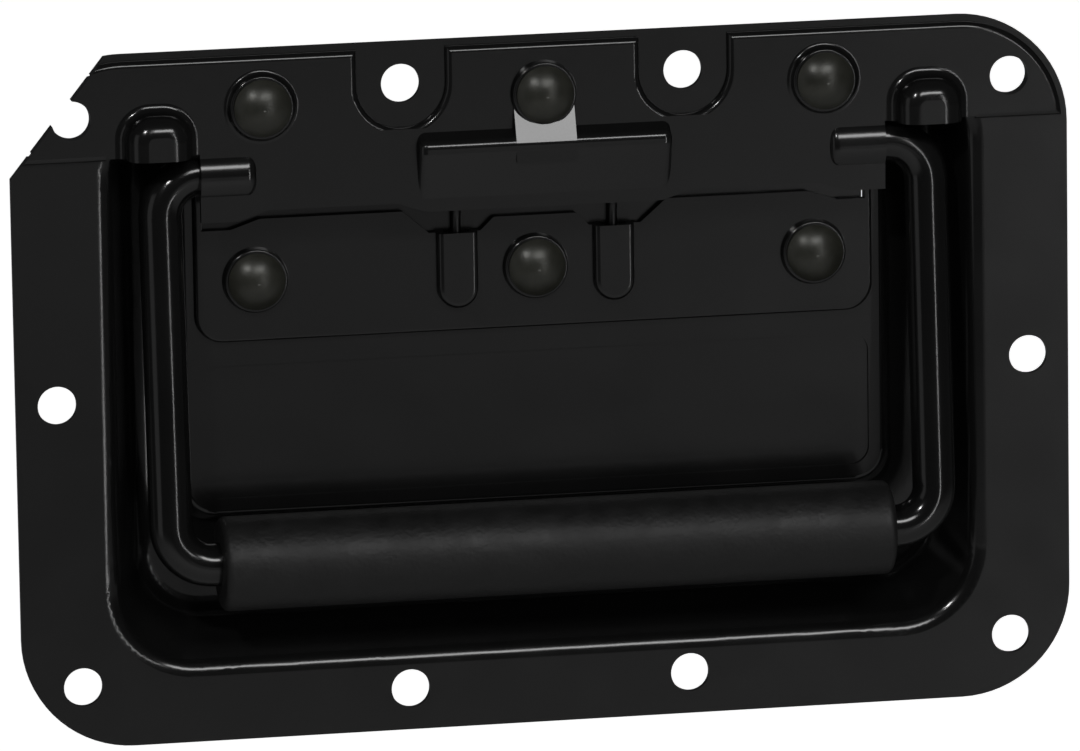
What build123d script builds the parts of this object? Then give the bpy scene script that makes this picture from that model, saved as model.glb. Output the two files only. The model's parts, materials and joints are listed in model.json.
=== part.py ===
from build123d import *
from math import acos, atan2, cos, degrees, hypot, radians, sin, sqrt, tan
import os

# Recessed pull handle: a pressed steel dish with a sprung bail, millimetres.
#
# Every piece is drawn lying on its back: X to the right, Y up the plate, Z out of the
# front, with Z = 0 on the front of the flange. stand() then tips it upright, so that the
# front faces -Y and the back of the flange lies in the plane Y = 0.

# ---- sheet metal -------------------------------------------------------------------
sheet = 1.2                 # gauge of the dish and of the backing bracket

# ---- flange ------------------------------------------------------------------------
plate_width = 172.0
plate_height = 112.6
plate_corner = 18.0
bevel_across = 15.5         # the corner cut off at top left, along the top edge
bevel_down = 19.3           # and down the side

screw_hole = 6.3
corner_hole_x = 76.2        # 6 inch pitch across
corner_hole_y = 46.25
inner_hole_x = 22.95
inner_hole_y = 49.55
side_hole_x = 79.35

# ---- pan ---------------------------------------------------------------------------
pan_depth = 12.0            # flange front to floor front
mouth_half = 70.2
mouth_bottom = -43.8
mouth_corner = 12.0
mouth_roll = 3.0            # front radius of the rolled lip
floor_half = 65.6
floor_bottom = -37.4
floor_corner = 11.0
floor_roll = 4.0

platform_half = 57.4        # raised middle of the floor
platform_bottom = -21.2
platform_rise = 2.6
platform_corner = 5.0
platform_draft = 25.0       # degrees

label_half = 54.9           # shallow panel left bare for a label
label_top = 3.1
label_bottom = -18.7
label_corner = 3.0
label_sink = 0.4

patch_half = 55.4           # riveted patch, one sheet proud of the platform
patch_bottom = 7.2
patch_corner = 4.5

# ---- top strip ---------------------------------------------------------------------
strip_rim = 1.0             # flat border left round the raised strip
strip_edge = 1.0            # front radius of the strip's border
crease = 39.3               # height at which the strip begins
pad_radius = 7.2            # tongue sunk round each inner hole

apron_half = 55.7           # lower part of the strip, over the hinge
apron_low = 28.7            # its lower edge, at the ends and in the middle
apron_high = 30.3           # and between them
apron_end = 49.6            # where the end part stops
apron_middle = 19.2         # half width of the middle part
apron_slope = 4.8           # run of each slope
slot_gap = 3.2              # open slot between the apron and the patch
slot_half = 54.3
notch_low = 23.4            # notches in the patch over the ribs
notch_inner = 8.9
notch_outer = 17.3

# ---- hinge -------------------------------------------------------------------------
axis_y = 36.0
axis_z = -2.4

rod = 7.0                   # bail rod diameter
arm_half = 62.45
bail_drop = 62.8            # hinge axis to grip axis
bend = 6.5                  # centreline radius of each bend
stub_end = 48.8             # inner end of each stub
bail_tilt = 5.0             # degrees, resting angle out of the plate's plane
side_float = 0.6            # the bail has slid this far toward +X

grip_diameter = 15.2
grip_half = 54.8
grip_round = 1.2

pin_diameter = 4.0
pin_bore_depth = 6.5

wire = 1.5                  # torsion spring wire
coil_radius = 3.0           # to the middle of the wire
coil_turns = 5
coil_pitch = 1.6
leg_x = 12.8                # spring leg and the rib over it
leg_bend = 4.0              # radius of the bend in it
leg_bend_y = 26.0           # where it bends
leg_foot_y = 13.6
leg_play = 0.05             # wire to the metal on each side

# ---- forms over the hinge ----------------------------------------------------------
journal_play = 0.06         # stub to its bearing
journal_inner = 46.6        # outside of the closed end of each bearing bulge
journal_round = 1.5

hub_half = 20.6             # bulge over the springs
hub_crest = 3.7             # its height above the flange
hub_high = 41.6             # foot of its upper wall
hub_shoulder = 40.0         # top of that wall
hub_ridge = 38.4            # where it starts to slope down
hub_low = 30.8              # foot of the slope
hub_round = 1.5
hub_end_round = 1.3
stem_half = 4.9             # ridge from that bulge up to the middle rivet
stem_top = 45.5
stem_top_z = 1.35

hood_x = 62.6               # scoop over each end of the bail
hood_half = 5.2
hood_edge = 39.8            # its open lower edge
hood_top = 46.9
hood_height = 6.2           # above the flange
hood_corner = 4.2
hood_round = 3.2

foot_round = 0.8            # hollow radius at the foot of the forms
hood_foot = 1.5

# ---- ribs --------------------------------------------------------------------------
rib_half = 3.3
rib_bottom = 11.0
rib_round = 0.9

# ---- rivets ------------------------------------------------------------------------
rivet_x = 45.7
rivet_top_y = 47.1
rivet_low_y = 17.2
boss_foot = 5.7
boss_top = 5.1
boss_rise = 1.3
boss_wall = 0.9
boss_play = 0.1
boss_round = 0.35
boss_fillet = 0.7
rivet_shank = 4.6
rivet_head = 4.6            # radius
rivet_head_rim = 0.5
rivet_head_rise = 2.5
rivet_tail = 3.2            # radius
rivet_tail_thick = 1.0

# ---- bracket -----------------------------------------------------------------------
bracket_wall = 41.2         # face of the step wall toward the pan
bracket_half = 54.0         # half width of the lower plate
bracket_bottom = 9.0
bracket_corner = 4.0
bracket_play = 0.3          # to the strip's border and pads
ear_inner = 56.6            # wall that closes the pan behind each hood
ear_outer = 69.0
bend_inside = 0.6
saddle_inner = 46.4         # pressed seat behind each stub
saddle_outer = 53.6
saddle_bottom = 31.4
saddle_round = 0.8

# ---- levels that follow from the sizes above ---------------------------------------
strip_front = sheet
floor_front = -pan_depth
platform_front = floor_front + platform_rise
patch_front = platform_front + sheet
patch_back = patch_front - sheet
bay_half = mouth_half + 0.6 # the pan's width under the hoods
shank_hole = rivet_shank + 0.1
leg_z = patch_back + wire / 2 + leg_play
hook_x = leg_x - coil_turns * coil_pitch
rib_rise = wire + 2 * leg_play
wall_run = sheet * hypot(mouth_half - floor_half, pan_depth) / pan_depth
foot_run = sheet * hypot(floor_bottom - mouth_bottom, pan_depth) / pan_depth


def stand(shape):
    """Tip a shape drawn on its back upright, with the back of the flange at Y = 0."""
    return Pos(0, -sheet, 0) * Rot(90, 0, 0) * shape


def slab(sketch, low, high):
    """Straight prism of a sketch between two levels."""
    return extrude(Pos(0, 0, low) * sketch, high - low)


def block(left, right, bottom, top, low, high):
    """Box given by its limits."""
    centre = Pos((left + right) / 2, (bottom + top) / 2, (low + high) / 2)
    return centre * Box(right - left, top - bottom, high - low)


def rectangle(half, bottom, top, corner):
    """Rounded rectangle centred on X = 0."""
    return Pos(0, (bottom + top) / 2) * RectangleRounded(2 * half, top - bottom, corner)


def both_sides(shape):
    """The shape and its mirror image in the plane X = 0."""
    return shape + mirror(shape, Plane.YZ)


def edges_at(shape, level, inside=None):
    """Edges that lie wholly at one level, within a box of half width and limits if given."""
    found = shape.edges().filter_by_position(Axis.Z, level - 0.01, level + 0.01)
    if inside:
        left, right, bottom, top = inside
        found = found.filter_by_position(Axis.X, left, right)
        found = found.filter_by_position(Axis.Y, bottom, top)
    return found


# ---- flange and pan ----------------------------------------------------------------
def bevel(low, high):
    """The corner that is cut away at top left."""
    left = -plate_width / 2
    top = plate_height / 2
    corner = Polygon(
        (left - 20, top + 20),
        (left - 20, top - bevel_down - 20 * bevel_down / bevel_across),
        (left + bevel_across + 20 * bevel_across / bevel_down, top + 20),
        align=None,
    )
    return slab(corner, low, high)


def screw_holes(low, high):
    """All ten screw holes; the one at top left is cut open by the bevel."""
    spots = [
        (corner_hole_x, corner_hole_y),
        (corner_hole_x, -corner_hole_y),
        (-corner_hole_x, corner_hole_y),
        (-corner_hole_x, -corner_hole_y),
        (inner_hole_x, inner_hole_y),
        (inner_hole_x, -inner_hole_y),
        (-inner_hole_x, inner_hole_y),
        (-inner_hole_x, -inner_hole_y),
        (side_hole_x, 0),
        (-side_hole_x, 0),
    ]
    holes = Sketch() + [Pos(x, y) * Circle(screw_hole / 2) for x, y in spots]
    return slab(holes, low, high)


def pan_section(level, grow_side, grow_foot):
    """Outline of the pan at one level; it runs on past the crease, where it is cut."""
    share = -level / pan_depth
    half = mouth_half + share * (floor_half - mouth_half) + grow_side
    bottom = mouth_bottom + share * (floor_bottom - mouth_bottom) - grow_foot
    corner = mouth_corner + share * (floor_corner - mouth_corner) + grow_side
    return Pos(0, 0, level) * rectangle(half, bottom, crease + 8, corner)


def hollowed(top, floor, grow_side, grow_foot, lip, foot):
    """Block under one face of the sheet, with the pan sunk into it and its edges rounded."""
    hollow = loft([pan_section(1, grow_side, grow_foot), pan_section(floor, grow_side, grow_foot)])
    hollow = fillet(edges_at(hollow, floor), foot)
    under = slab(RectangleRounded(plate_width, plate_height, plate_corner), floor - 8, top) - hollow
    mouth = (-mouth_half - 8, mouth_half + 8, mouth_bottom - 8, plate_height / 2 - 1)
    return fillet(edges_at(under, top, mouth), lip)


def raised(half, bottom, corner, rise, base, shrink, top_round, foot_draft):
    """Pressed up rectangle that runs past the crease, with leaning sides."""
    lean = rise * tan(radians(foot_draft))
    low = Pos(0, 0, base) * rectangle(half + lean - shrink, bottom - lean + shrink, crease + 8, corner)
    high = Pos(0, 0, base + rise) * rectangle(half - shrink, bottom + shrink, crease + 8, corner)
    solid = loft([low, high])
    return fillet(edges_at(solid, base + rise), top_round)


def rib_shape(half, bottom, low, high, round_over):
    """Round ended rib over a spring leg."""
    profile = SlotOverall(2 * (notch_low + 6 - bottom), 2 * half, rotation=90)
    solid = slab(Pos(leg_x, notch_low + 6) * profile, low, high)
    if round_over:
        solid = fillet(edges_at(solid, high), round_over)
    return both_sides(solid)


def slot():
    """What is cut out of the floor between the apron of the strip and the riveted patch."""
    low = apron_low - slot_gap
    high = apron_high - slot_gap
    ramp = apron_end - apron_slope
    right = [
        (0, low),
        (notch_inner - 2.2, low),
        (notch_inner, notch_low),
        (notch_outer, notch_low),
        (apron_middle + apron_slope / 2, high),
        (ramp, high),
        (apron_end, low),
        (slot_half, low),
        (slot_half, crease + 20),
    ]
    left = [(-x, y) for x, y in reversed(right[1:])]
    return slab(Polygon(*right, *left, align=None), floor_front - 10, -sheet / 2)


def lower_dish():
    """Flange and pan below the crease, with everything raised on the floor."""
    front = hollowed(0, floor_front, 0, 0, mouth_roll, floor_roll)
    back = hollowed(
        -sheet, floor_front - sheet, wall_run, foot_run, mouth_roll - sheet, floor_roll + sheet
    )

    front += raised(
        platform_half, platform_bottom, platform_corner, platform_rise, floor_front, 0, 1.0, platform_draft
    )
    back += raised(
        platform_half,
        platform_bottom,
        platform_corner - 1,
        platform_rise,
        floor_front - sheet,
        sheet * 0.8,
        0.4,
        platform_draft,
    )
    front += raised(patch_half, patch_bottom, patch_corner, sheet, platform_front, 0, 0.5, 8)
    back += raised(patch_half, patch_bottom, patch_corner - 1, sheet, platform_front - sheet, sheet, 0.2, 8)

    label = rectangle(label_half, label_bottom, label_top, label_corner)
    front -= slab(label, platform_front - label_sink, platform_front + 1)
    back -= slab(label, platform_front - sheet - label_sink, platform_front + 1)

    front += rib_shape(rib_half, rib_bottom, patch_front - 1, patch_front + rib_rise, rib_round)
    back += rib_shape(rib_half - sheet + 0.1, rib_bottom + sheet, patch_back - 1, patch_back + rib_rise, 0)

    front += boss_row(rivet_low_y, patch_back, patch_front + boss_rise, 0, boss_round)
    back += boss_row(rivet_low_y, patch_back - 1, patch_back + boss_rise, boss_wall, 0)
    return front - back - slot()


# ---- raised strip over the hinge ---------------------------------------------------
def hinge_bar(radius, left, right):
    """Round bar along the hinge axis."""
    bar = Rot(0, 90, 0) * Cylinder(radius, right - left)
    return Pos((left + right) / 2, axis_y, axis_z) * bar


def strip_area(inset):
    """Outline of the raised strip, less the tongues sunk round the inner holes."""
    edge = strip_rim + inset
    area = RectangleRounded(plate_width - 2 * edge, plate_height - 2 * edge, plate_corner - edge)
    area -= Pos(0, crease + inset - plate_height) * Rectangle(2 * plate_width, 2 * plate_height)
    return area - tongues(pad_radius + inset)


def tongues(radius):
    """Outline round both inner holes, open toward the top edge."""
    area = Sketch()
    for x in (-inner_hole_x, inner_hole_x):
        area += Pos(x, inner_hole_y) * Circle(radius)
        area += Pos(x, inner_hole_y + plate_height / 2) * Rectangle(2 * radius, plate_height)
    return area


def apron_area():
    """Lower part of the strip, with its stepped edge, as far out as the pan is wide."""
    right = [
        (0, apron_low),
        (apron_middle, apron_low),
        (apron_middle + apron_slope, apron_high),
        (apron_end - apron_slope, apron_high),
        (apron_end, apron_low),
        (apron_half, apron_low),
        (apron_half, hood_edge),
        (bay_half, hood_edge),
        (bay_half, crease + 3),
    ]
    left = [(-x, y) for x, y in reversed(right[1:])]
    return Polygon(*right, *left, align=None)


def boss(x, y, low, high, foot, top, rounding):
    """Low cone pressed up round a rivet."""
    cone = Cone(foot, top, high - low, align=(Align.CENTER, Align.CENTER, Align.MIN))
    cone = Pos(x, y, low) * cone
    if rounding:
        cone = fillet(edges_at(cone, high), rounding)
    return cone


def boss_row(height, low, high, shrink, rounding):
    """One row of three bosses."""
    bosses = Part()
    for x in (-rivet_x, 0, rivet_x):
        bosses += boss(x, height, low, high, boss_foot - shrink, boss_top - shrink, rounding)
    return bosses


def hood(inset):
    """Scoop over one end of the bail, closed toward the top of the plate."""
    half = hood_half - inset
    top = hood_top - inset
    low = crease - 12
    plan = Pos(hood_x, (low + top) / 2) * RectangleRounded(2 * half, top - low, hood_corner - inset)
    solid = slab(plan, -6, hood_height - inset)
    solid = fillet(edges_at(solid, hood_height - inset), hood_round - inset)
    return solid & block(0, plate_width, hood_edge - inset, plate_height, -5, 20)


def hub(inset):
    """Bulge over the springs: a steep wall above, a ridge, and a slope down to the apron."""
    profile = Polygon(
        (hub_high, -5),
        (hub_high, strip_front),
        (hub_shoulder, hub_crest),
        (hub_ridge, hub_crest),
        (hub_low, strip_front),
        (hub_low, -5),
        align=None,
    )
    if inset:
        profile = offset(profile, -inset, kind=Kind.INTERSECTION)
    solid = extrude(Plane.YZ * profile, hub_half - inset, both=True)
    if inset:
        return solid
    crest = solid.edges().filter_by(Axis.X).group_by(Axis.Z)[-1]
    solid = fillet(crest.sort_by(Axis.Y)[-1], hub_round)
    ends = solid.faces().filter_by(Axis.X).edges()
    return fillet(ends.filter_by(lambda edge: edge.center().Z > strip_front), hub_end_round)


def stem(inset):
    """Ridge that runs from the bulge over the springs up to the middle rivet."""
    crest = hub_crest - inset
    profile = Plane.YZ * Polygon(
        (hub_ridge - 2, -1),
        (hub_ridge - 2, crest - 0.05),
        (hub_shoulder - 0.4, crest - 0.05),
        (stem_top, stem_top_z - inset),
        (stem_top, -1),
        align=None,
    )
    return extrude(profile, stem_half - inset, both=True)


def journal(radius, inner):
    """Bearing bulge over one stub of the bail, closed toward the middle."""
    return hinge_bar(radius, inner, apron_half)


def strip():
    """Raised strip: border, hoods, bulges and bosses, hollow behind."""
    front = slab(strip_area(0), -sheet, strip_front)
    front = fillet(edges_at(front, strip_front), strip_edge)
    bay = block(-bay_half, bay_half, 0, hood_edge, -sheet - 1, strip_front + 1)
    front = front - bay + slab(apron_area(), 0, strip_front)

    over_stub = journal(rod / 2 + journal_play + sheet, journal_inner)
    over_stub = fillet(over_stub.edges().sort_by(Axis.X)[0], journal_round)
    forms = hub(0) + stem(0) + both_sides(over_stub + hood(0))
    forms += boss_row(rivet_top_y, 0, strip_front + boss_rise, 0, boss_round)
    front += forms & block(-plate_width, plate_width, 0, plate_height, 0, 20)
    front = soften(front)

    back = slab(strip_area(sheet), -sheet - 1, 0)
    back += block(-bay_half, bay_half, 0, crease + 3, -20, 0)
    stub_room = journal(rod / 2 + journal_play, journal_inner + sheet)
    back += hub(sheet) + stem(sheet) + both_sides(stub_room + hood(sheet))
    back += boss_row(rivet_top_y, -1, boss_rise, boss_wall, 0)
    return front - back


def soften(front):
    """Hollow radii at the feet of the hoods and of the outer bosses."""
    for side in (-1, 1):
        left = side * hood_x - hood_half - 1
        right = side * hood_x + hood_half + 1
        feet = edges_at(front, strip_front, (left, right, hood_edge + 0.2, hood_top + 1))
        front = fillet(feet, hood_foot)
        left = side * rivet_x - boss_foot - 1
        right = side * rivet_x + boss_foot + 1
        feet = edges_at(front, strip_front, (left, right, rivet_top_y - 3, rivet_top_y + 3))
        front = fillet(feet.filter_by(GeomType.CIRCLE), foot_round)
    return front


# ---- dish --------------------------------------------------------------------------
def dish():
    """The whole pressing, with its holes and its bevelled corner."""
    under = block(-plate_width, plate_width, -plate_height, crease, -40, 40)
    border = slab(RectangleRounded(plate_width, plate_height, plate_corner), -sheet, 0)
    border -= slab(strip_area(strip_edge), -sheet - 1, 1)
    border -= block(-plate_width, plate_width, -plate_height, crease, -5, 5)
    border -= block(-bay_half, bay_half, 0, crease + 3, -5, 5)
    under += block(-bay_half, bay_half, 0, bracket_wall - boss_play, -40, 0)
    floor = lower_dish() & under
    whole = floor + border + strip()
    for x, y in rivets_at(rivet_top_y) + rivets_at(rivet_low_y):
        whole -= Pos(x, y) * Cylinder(shank_hole / 2, 60)
    return whole - screw_holes(-5, 5) - bevel(-5, 5)


def rivets_at(height):
    """Centres of one row of rivets."""
    return [(-rivet_x, height), (0, height), (rivet_x, height)]


# ---- bracket -----------------------------------------------------------------------
def bracket_profile():
    """Section of the bracket: a strip in front, a step wall and the plate behind the patch."""
    back_wall = bracket_wall + sheet
    top = plate_height / 2 - strip_rim - sheet - bracket_play
    section = Polygon(
        (top, 0),
        (bracket_wall, 0),
        (bracket_wall, patch_back),
        (bracket_bottom, patch_back),
        (bracket_bottom, patch_back - sheet),
        (back_wall, patch_back - sheet),
        (back_wall, -sheet),
        (top, -sheet),
        align=None,
    )
    inner = [(bracket_wall, patch_back), (back_wall, -sheet)]
    outer = [(bracket_wall, 0), (back_wall, patch_back - sheet)]
    for spots, radius in ((inner, bend_inside), (outer, bend_inside + sheet)):
        corners = [corner for corner in section.vertices() if near_any(corner, spots)]
        section = fillet(corners, radius)
    return Plane.YZ * section


def near_any(corner, spots):
    """True if a vertex lies at one of the spots."""
    return any(hypot(corner.X - x, corner.Y - y) < 0.01 for x, y in spots)


def bracket():
    """Backing bracket, riveted behind the strip and behind the patch in the pan."""
    bent = extrude(bracket_profile(), plate_width / 2, both=True)
    plate = rectangle(bracket_half, bracket_bottom, plate_height, bracket_corner)
    deep = slab(plate, -40, 0) & block(-bracket_half, bracket_half, 0, bracket_wall, -40, 0)
    ears = both_sides(block(ear_inner, ear_outer, bracket_wall, 60, -40, 0))
    middle = block(-bracket_half, bracket_half, bracket_wall, 60, -40, 0)
    front = slab(strip_area(sheet + bracket_play), -sheet, 0)
    low_ears = block(-plate_width, plate_width, 0, bracket_wall, -40, 0)
    body = bent & (deep + middle + ears)
    body = body + (front - low_ears)

    saddle = block(saddle_inner, saddle_outer, saddle_bottom, bracket_wall + 0.5, patch_back - 1, axis_z - rod / 2 - journal_play)
    saddle_room = block(
        saddle_inner + sheet,
        saddle_outer - sheet,
        saddle_bottom + sheet,
        bracket_wall,
        patch_back - sheet - 1,
        axis_z - rod / 2 - journal_play - sheet,
    )
    body = body + both_sides(saddle) - both_sides(saddle_room)
    for row, base in ((rivet_top_y, 0), (rivet_low_y, patch_back)):
        shrink = boss_wall + boss_play
        body += boss_row(row, base - sheet, base + boss_rise, shrink, 0)
        body -= boss_row(row, base - sheet - 1, base + boss_rise - sheet, 2 * boss_wall, 0)
        for x, y in rivets_at(row):
            body -= Pos(x, y) * Cylinder(shank_hole / 2, 60)
    body -= slab(tongues(pad_radius + sheet + bracket_play), -sheet - bend_inside, 1)
    return body - screw_holes(-5, 5) - bevel(-5, 5)


# ---- rivets ------------------------------------------------------------------------
def rivet(x, y, seat):
    """Domed rivet; seat is the level of the boss it sits on."""
    cap = rivet_head_rise - rivet_head_rim
    ball = (rivet_head**2 + cap**2) / (2 * cap)
    dome = Pos(0, 0, rivet_head_rise - ball) * Sphere(ball)
    head = Cylinder(rivet_head, rivet_head_rise, align=(Align.CENTER, Align.CENTER, Align.MIN))
    head = head & dome
    grip = 2 * sheet
    low = (Align.CENTER, Align.CENTER, Align.MAX)
    shank = Cylinder(rivet_shank / 2, grip + rivet_tail_thick, align=low)
    tail = Pos(0, 0, -grip) * Cylinder(rivet_tail, rivet_tail_thick, align=low)
    return Pos(x, y, seat) * (head + shank + tail)


# ---- bail --------------------------------------------------------------------------
def bail_place():
    """Where the bail hangs: on the hinge axis, tilted forward."""
    return Pos(side_float, axis_y, axis_z) * Rot(-bail_tilt, 0, 0)


def bail():
    """Bent round rod with its two stubs bored for the hinge pin."""
    corners = [
        (-stub_end, 0),
        (-arm_half, 0),
        (-arm_half, -bail_drop),
        (arm_half, -bail_drop),
        (arm_half, 0),
        (stub_end, 0),
    ]
    path = FilletPolyline(*corners, radius=bend)
    section = Plane(origin=path @ 0, z_dir=path % 0) * Circle(rod / 2)
    body = sweep(section, path=path)
    bore = Rot(0, 90, 0) * Cylinder(pin_diameter / 2, 2 * (stub_end + pin_bore_depth))
    return body - bore


def grip():
    """Sleeve pressed on the bottom of the bail."""
    sleeve = Cylinder(grip_diameter / 2, 2 * grip_half)
    sleeve = fillet(sleeve.edges().filter_by(GeomType.CIRCLE), grip_round)
    sleeve -= Cylinder(rod / 2, 4 * grip_half)
    return Pos(0, -bail_drop) * Rot(0, 90, 0) * sleeve


def pin():
    """Hinge pin between the stubs, cross drilled for the ends of both springs."""
    body = Rot(0, 90, 0) * Cylinder(pin_diameter / 2, 2 * (stub_end + pin_bore_depth))
    body = bail_place() * body
    for x in (-hook_x, hook_x):
        drill = Cylinder(wire / 2 + leg_play, 2 * pin_diameter)
        body -= Pos(x, axis_y, axis_z) * Rot(hook_angle() - 90, 0, 0) * drill
    return body


# ---- springs -----------------------------------------------------------------------
def hook_angle():
    """Angle round the pin at which a spring's leg leaves its coil, in degrees."""
    reach_y = leg_bend_y - axis_y
    reach_z = leg_z - axis_z
    return degrees(atan2(reach_z, reach_y) + acos(coil_radius / hypot(reach_y, reach_z)))


def spring(side):
    """Torsion spring: coil round the pin, one leg for the rib, one hooked into the pin."""
    angle = hook_angle()
    leg_y = axis_y + coil_radius * cos(radians(angle))
    leg_start_z = axis_z + coil_radius * sin(radians(angle))
    start = (side * leg_x, leg_y, leg_start_z)
    knee = (side * leg_x, leg_bend_y, leg_z)
    foot = (side * leg_x, leg_foot_y, leg_z)
    leg_path = FilletPolyline(start, knee, foot, radius=leg_bend)
    leg = sweep(Plane(origin=leg_path @ 0, z_dir=leg_path % 0) * Circle(wire / 2), path=leg_path)

    turns = Helix(coil_pitch, coil_turns * coil_pitch, coil_radius, lefthand=side > 0)
    coil = sweep(Plane(origin=turns @ 0, z_dir=turns % 0) * Circle(wire / 2), path=turns)
    coil = Rot(angle - side * 90, 0, 0) * Rot(0, -side * 90, 0) * coil
    coil = Pos(side * leg_x, axis_y, axis_z) * coil

    turn = Pos(side * hook_x, leg_y, leg_start_z) * Sphere(wire / 2)
    hook = hook_bar(wire / 2, side * hook_x, coil_radius)
    return coil + leg + Pos(*start) * Sphere(wire / 2) + turn + hook


def hook_bar(radius, x, reach):
    """Straight end of a spring through the pin, or its hole."""
    length = reach + pin_diameter / 2
    bar = Cylinder(radius, length, align=(Align.CENTER, Align.CENTER, Align.MAX))
    return Pos(x, axis_y, axis_z) * Rot(hook_angle() - 90, 0, 0) * Pos(0, 0, reach) * bar


# ---- output ------------------------------------------------------------------------
pieces = {
    "dish": dish(),
    "hinge_bracket": bracket(),
    "bail": bail_place() * bail(),
    "grip": bail_place() * grip(),
    "hinge_pin": pin(),
    "right_spring": spring(1),
    "left_spring": spring(-1),
}
for row, height, seat in (
    ("upper", rivet_top_y, strip_front + boss_rise),
    ("lower", rivet_low_y, patch_front + boss_rise),
):
    for side, (x, y) in zip(("left", "middle", "right"), rivets_at(height)):
        pieces[f"{row}_{side}_rivet"] = rivet(x, y, seat)

os.makedirs("parts", exist_ok=True)
for name, piece in pieces.items():
    upright = stand(piece)
    if isinstance(upright, Compound) and len(upright.solids()) == 1:
        upright = upright.solid()
    export_step(upright, f"parts/{name}.step")
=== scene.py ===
# %% [markdown]
# # A recessed pull handle, dressed and lit
#
# The handle is a pressed steel dish with a folding bail, a rubbery sleeve to
# hold, six rivets and two small springs. Its solid pieces come ready made from
# the frame, so this lesson is about finishes and light. Black paint is a hard
# subject: it shows hardly any colour of its own, and what we see of its form is
# almost all reflection.

# %% Load the frame
import json
import math

import bpy
from mathutils import Matrix, Vector


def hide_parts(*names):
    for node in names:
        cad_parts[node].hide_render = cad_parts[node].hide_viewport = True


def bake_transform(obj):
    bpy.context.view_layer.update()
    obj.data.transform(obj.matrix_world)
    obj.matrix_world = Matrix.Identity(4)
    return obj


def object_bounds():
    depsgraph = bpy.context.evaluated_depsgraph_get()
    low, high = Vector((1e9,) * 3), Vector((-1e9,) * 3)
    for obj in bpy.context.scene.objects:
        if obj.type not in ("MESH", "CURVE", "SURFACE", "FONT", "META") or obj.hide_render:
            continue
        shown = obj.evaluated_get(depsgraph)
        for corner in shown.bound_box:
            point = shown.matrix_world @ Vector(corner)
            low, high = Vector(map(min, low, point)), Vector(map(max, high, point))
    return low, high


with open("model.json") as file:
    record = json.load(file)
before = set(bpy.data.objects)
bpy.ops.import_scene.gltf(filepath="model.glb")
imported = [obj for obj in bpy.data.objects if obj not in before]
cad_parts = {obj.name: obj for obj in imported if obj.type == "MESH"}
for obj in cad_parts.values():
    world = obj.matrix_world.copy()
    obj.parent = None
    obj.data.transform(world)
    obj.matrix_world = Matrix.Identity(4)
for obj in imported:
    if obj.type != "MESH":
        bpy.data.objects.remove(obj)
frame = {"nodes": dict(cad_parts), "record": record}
cad_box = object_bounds()
nodes = frame["nodes"]
print("pieces:", ", ".join(sorted(nodes)))

# %% [markdown]
# ## Arithmetic with shader sockets
#
# A finish is worked out by a net of nodes. Wiring each Math node by hand hides
# the idea behind it, so a small class stands for whatever comes out of a node.
# Adding or multiplying two of them adds the Math node and its wires. A second
# class holds the net of one material, and makes every other node from its
# type, its settings and the values of its inputs.


# %% Sockets that add and multiply
class Flow:
    """What comes out of a node, ready for ordinary arithmetic."""

    def __init__(self, net, socket):
        self.net = net
        self.socket = socket

    def math(self, operation, first, second):
        return self.net.node("Math", {"operation": operation}, {0: first, 1: second})

    def __add__(self, other):
        return self.math("ADD", self, other)

    def __radd__(self, other):
        return self.math("ADD", other, self)

    def __sub__(self, other):
        return self.math("SUBTRACT", self, other)

    def __rsub__(self, other):
        return self.math("SUBTRACT", other, self)

    def __mul__(self, other):
        return self.math("MULTIPLY", self, other)

    def __rmul__(self, other):
        return self.math("MULTIPLY", other, self)


# %% One net of nodes
class NodeNet:
    """The nodes of a material, or of the world, under construction."""

    def __init__(self, owner):
        owner.use_nodes = True
        self.owner = owner
        self.tree = owner.node_tree
        self.tree.nodes.clear()

    def node(self, kind, settings=None, inputs=None, output=0):
        made = self.tree.nodes.new("ShaderNode" + kind)
        for name, value in (settings or {}).items():
            setattr(made, name, value)
        for name, value in (inputs or {}).items():
            if isinstance(value, Flow):
                self.tree.links.new(value.socket, made.inputs[name])
            else:
                made.inputs[name].default_value = value
        return Flow(self, made.outputs[output]) if len(made.outputs) else None

    def noise(self, size, detail=2.0, offset=0.0):
        """Cloudy values from 0 to 1 whose blotches are about size metres across."""
        place = self.node("TexCoord", output=3)
        if offset:
            moved = {0: place, 1: (offset, offset, offset)}
            place = self.node("VectorMath", {"operation": "ADD"}, moved)
        inputs = {"Vector": place, "Scale": 1 / size, "Detail": detail}
        return self.node("TexNoise", {}, inputs)

    def blend(self, amount, first, second):
        """A colour between two others."""
        inputs = {0: amount, 6: first, 7: second}
        return self.node("Mix", {"data_type": "RGBA"}, inputs, output=2)

    def bump(self, height, depth, strength=1.0):
        """Small hills of the given depth in metres."""
        inputs = {"Height": height, "Distance": depth, "Strength": strength}
        return self.node("Bump", {}, inputs)

    def surface(self, **inputs):
        named = {name.replace("_", " "): value for name, value in inputs.items()}
        shader = self.node("BsdfPrincipled", {}, named)
        self.node("OutputMaterial", {}, {"Surface": shader})
        return self.owner


def new_finish(name):
    return NodeNet(bpy.data.materials.new(name))


def grey(level):
    return (level, level, level, 1)


# %% [markdown]
# ## The black coat on the pressed steel
#
# The dish is dipped or sprayed after pressing, and the coat dries with a soft
# waviness that painters call orange peel. It could be modelled, but at a tenth
# of a hair's width it only shows where it bends reflections, so a bump is
# enough. Two noises do it: a broad one for the waviness and a fine one for the
# grain. The same broad noise also moves the roughness a little, so that long
# highlights break up instead of looking ruled.


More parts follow.
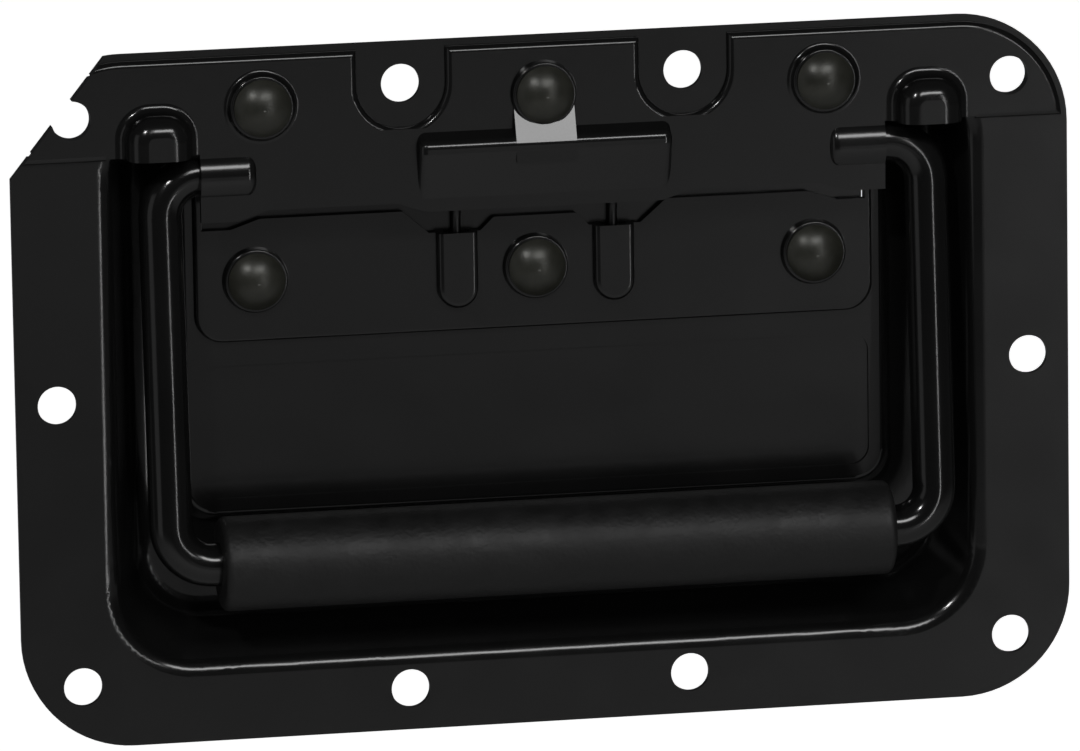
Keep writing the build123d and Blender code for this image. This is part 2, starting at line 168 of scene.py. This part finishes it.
# %% Coat of paint
def paint(name, level, gloss):
    """Black paint on steel; gloss is its mean roughness."""
    coat = new_finish(name)
    clouds = coat.noise(0.011, detail=3)
    waves = coat.noise(0.0024, detail=1, offset=0.3)
    grain = coat.noise(0.0004, detail=2, offset=0.7)
    tone = coat.blend(clouds, grey(level * 0.8), grey(level * 1.25))
    relief = waves + 0.18 * grain
    return coat.surface(
        Base_Color=tone,
        Roughness=gloss - 0.04 + 0.08 * clouds,
        IOR=1.5,
        Normal=coat.bump(relief, 0.00003, 0.3),
    )


dish_coating = paint("dish_coating", 0.0055, 0.17)
bracket_coating = paint("bracket_coating", 0.0055, 0.24)
bail_coating = paint("bail_coating", 0.005, 0.15)

# %% [markdown]
# ## The sleeve on the bail
#
# The sleeve is a soft plastic tube pushed over the rod. It is duller than the
# paint, and light on it looks mottled, because the tube was pulled from its
# die slightly rough. A stretched noise gives that mottle a direction along the
# tube, and a finer one breaks it into grains.


# %% Sleeve
def sleeve_finish():
    sleeve = new_finish("grip_sleeve")
    mottle = sleeve.noise(0.0032, detail=4)
    grains = sleeve.noise(0.0007, detail=2, offset=0.9)
    tone = sleeve.blend(mottle, grey(0.004), grey(0.011))
    return sleeve.surface(
        Base_Color=tone,
        Roughness=0.38 + 0.26 * mottle,
        IOR=1.4,
        Normal=sleeve.bump(mottle + 0.3 * grains, 0.00025, 0.75),
    )


grip_sleeve = sleeve_finish()

# %% [markdown]
# ## Rivets, pin and springs
#
# The rivet domes are plated in a brownish grey and then struck, which leaves
# them half dull. They are metal, so their colour sits in the reflection. The
# pin is drawn steel with fine lines along its length, and the spring wire is
# darker, with a trace of oil.


# %% Plated domes
def dome_finish():
    dome = new_finish("rivet_coating")
    stain = dome.noise(0.0021, detail=4)
    pits = dome.noise(0.00035, detail=3, offset=0.4)
    tone = dome.blend(stain, (0.017, 0.0175, 0.014, 1), (0.04, 0.04, 0.032, 1))
    return dome.surface(
        Base_Color=tone,
        Metallic=0.3,
        Roughness=0.28 + 0.14 * stain,
        Normal=dome.bump(pits + stain, 0.00003, 0.5),
    )


# %% Bare steel
def steel(name, level, roughness):
    bar = new_finish(name)
    haze = bar.noise(0.0015, detail=3)
    scratch = bar.noise(0.00025, detail=1, offset=0.2)
    tone = bar.blend(haze, grey(level * 0.85), grey(level * 1.1))
    return bar.surface(
        Base_Color=tone,
        Metallic=1.0,
        Roughness=roughness + 0.12 * haze,
        Normal=bar.bump(scratch, 0.00001, 0.4),
    )


rivet_coating = dome_finish()
pin_steel = steel("pin_steel", 0.42, 0.3)
spring_steel = steel("spring_steel", 0.05, 0.34)

# %% Give each piece its finish
finishes = {
    "dish_coating": dish_coating,
    "bracket_coating": bracket_coating,
    "bail_coating": bail_coating,
    "grip_sleeve": grip_sleeve,
    "pin_steel": pin_steel,
    "spring_steel": spring_steel,
    "rivet_coating": rivet_coating,
}
for entry in frame["record"]["subparts"]:
    piece = nodes[entry["node"]]
    piece.data.materials.clear()
    piece.data.materials.append(finishes[entry["material_slot"]])
print("dressed", len(nodes), "pieces in", len(finishes), "finishes")

# %% [markdown]
# ## The springs
#
# Each spring stands still at its leg and turns with the pin at its hook, and
# the coil between them winds. A rigid copy would cut through the pin when the
# bail opens. Here each spring is only copied whole in place, with its transform
# baked in, and the original is hidden.

# %% Copy the springs in place
for side, node_name in ((1, "right_spring"), (-1, "left_spring")):
    winding = bpy.data.objects.new("winding_" + node_name, nodes[node_name].data.copy())
    bpy.context.scene.collection.objects.link(winding)
    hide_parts(node_name)
    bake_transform(winding)

# %% [markdown]
# ## Floor and air
#
# The handle is shown by itself on white. A camera ray that meets nothing gets
# plain white from the world, while every other ray gets a dim grey, because a
# white room would turn black paint grey. The floor glows for the camera in the
# same way and still takes light and shadow.

# %% World
bpy.context.scene.world = bpy.data.worlds.new("air")
air = NodeNet(bpy.context.scene.world)
camera_ray = air.node("LightPath")
dim_room = air.node("Background", {}, {"Color": (0.98, 0.99, 1.0, 1), "Strength": 0.03})
plain_white = air.node("Background", {}, {"Color": grey(1.0), "Strength": 1.0})
sky = air.node("MixShader", {}, {0: camera_ray, 1: dim_room, 2: plain_white})
air.node("OutputWorld", {}, {"Surface": sky})

# %% Floor
floor_drop = 0.25
floor_reach = 6.0
lowest_corner = Vector(cad_box[0])
sides = (-floor_reach, floor_reach)
corners = [(x, y, 0) for x, y in zip(sides + sides[::-1], (sides[0],) * 2 + (sides[1],) * 2)]
floor_mesh = bpy.data.meshes.new("floor")
floor_mesh.from_pydata(corners, [], [(0, 1, 2, 3)])
floor = bpy.data.objects.new("floor", floor_mesh)
floor.location.z = lowest_corner.z - floor_drop
bpy.context.scene.collection.objects.link(floor)

pale_floor = new_finish("pale_floor")
seen = pale_floor.node("LightPath")
matt = pale_floor.node("BsdfDiffuse", {}, {"Color": grey(0.8)})
glow = pale_floor.node("Emission", {}, {"Color": grey(1.0), "Strength": 0.98 * seen})
both = pale_floor.node("AddShader", {}, {0: matt, 1: glow})
pale_floor.node("OutputMaterial", {}, {"Surface": both})
floor_mesh.materials.append(pale_floor.owner)

# %% [markdown]
# ## Lamps
#
# Since black paint is seen by what it mirrors, each lamp is placed by asking
# which slope should shine. A ray from the camera bounces off a surface tipped
# up by some 25 degrees towards a point ahead of the handle and above it, so the
# large soft lamp hangs there and lights the slopes that face up. A small strong
# lamp on the left makes pinpoint glints on the domes and on the bends.
# A tall narrow one on the
# right draws the fine bright line down each arm of the bail, and a faint card
# far to the left keeps the arms' other edges from going fully black. The air
# itself is nearly dark, so that the recess stays deep, and a dim card straight
# ahead gives the flat sheet the little grey it has.

# %% Where a slope sends the eye
def towards(azimuth, height):
    """Direction so many degrees to the right of straight ahead, and up."""
    turned, raised = math.radians(azimuth), math.radians(height)
    level = math.cos(raised)
    return Vector((math.sin(turned) * level, -math.cos(turned) * level, math.sin(raised)))


to_eye = towards(-10.56, 11.84)


def mirrored(tip_up, tip_left):
    """Direction seen in a surface that faces forwards and is tipped, in degrees."""
    facing = towards(-tip_left, tip_up)
    return 2 * facing.dot(to_eye) * facing - to_eye


def lamp(name, direction, distance, width, height, power):
    """Soft lamp of so many watts that faces the handle from that direction."""
    data = bpy.data.lights.new(name, "AREA")
    data.shape = "RECTANGLE"
    data.size = width
    data.size_y = height
    data.energy = power
    fitting = bpy.data.objects.new(name, data)
    fitting.location = direction.normalized() * distance
    fitting.rotation_euler = direction.to_track_quat("Z", "Y").to_euler()
    bpy.context.scene.collection.objects.link(fitting)


# %% Hang the lamps
lamp("overhead_softbox", mirrored(23, 0), 1.1, 0.56, 0.20, 3.4)
lamp("left_lamp", mirrored(24, 20), 1.0, 0.06, 0.06, 2.0)
lamp("right_strip", towards(24.25, -2.87), 1.2, 0.04, 1.0, 1.5)
lamp("left_card", towards(-67.59, 2.73), 1.2, 0.5, 1.0, 0.5)
lamp("front_card", mirrored(-2.5, -2.0), 1.5, 0.70, 0.50, 0.38)

# %% [markdown]
# ## Camera
#
# The camera stands to the left and a little above, nearly two metres off with
# a long lens, so the far edge of the plate is hardly smaller than the near one.
# It is rolled by under a degree.

# %% Camera
eye_distance = 1.852
eye_roll = -0.87
flange_front = -0.0012
aim_left, aim_up = 0.00104, 0.00073
lens = bpy.data.cameras.new("camera")
lens.sensor_width = 36
lens.lens = 384.4
camera = bpy.data.objects.new("camera", lens)
bpy.context.scene.collection.objects.link(camera)
turn = to_eye.to_track_quat("Z", "Y").to_matrix()
turn = turn @ Matrix.Rotation(math.radians(eye_roll), 3, "Z")
right, up = turn.col[0], turn.col[1]
aim = Vector((0, flange_front, 0)) - aim_left * right + aim_up * up
camera.matrix_world = Matrix.Translation(aim + to_eye * eye_distance) @ turn.to_4x4()
bpy.context.scene.camera = camera
print("lens", lens.lens, "mm at", eye_distance, "m")

# %% Plain tones
bpy.context.scene.view_settings.view_transform = "Standard"
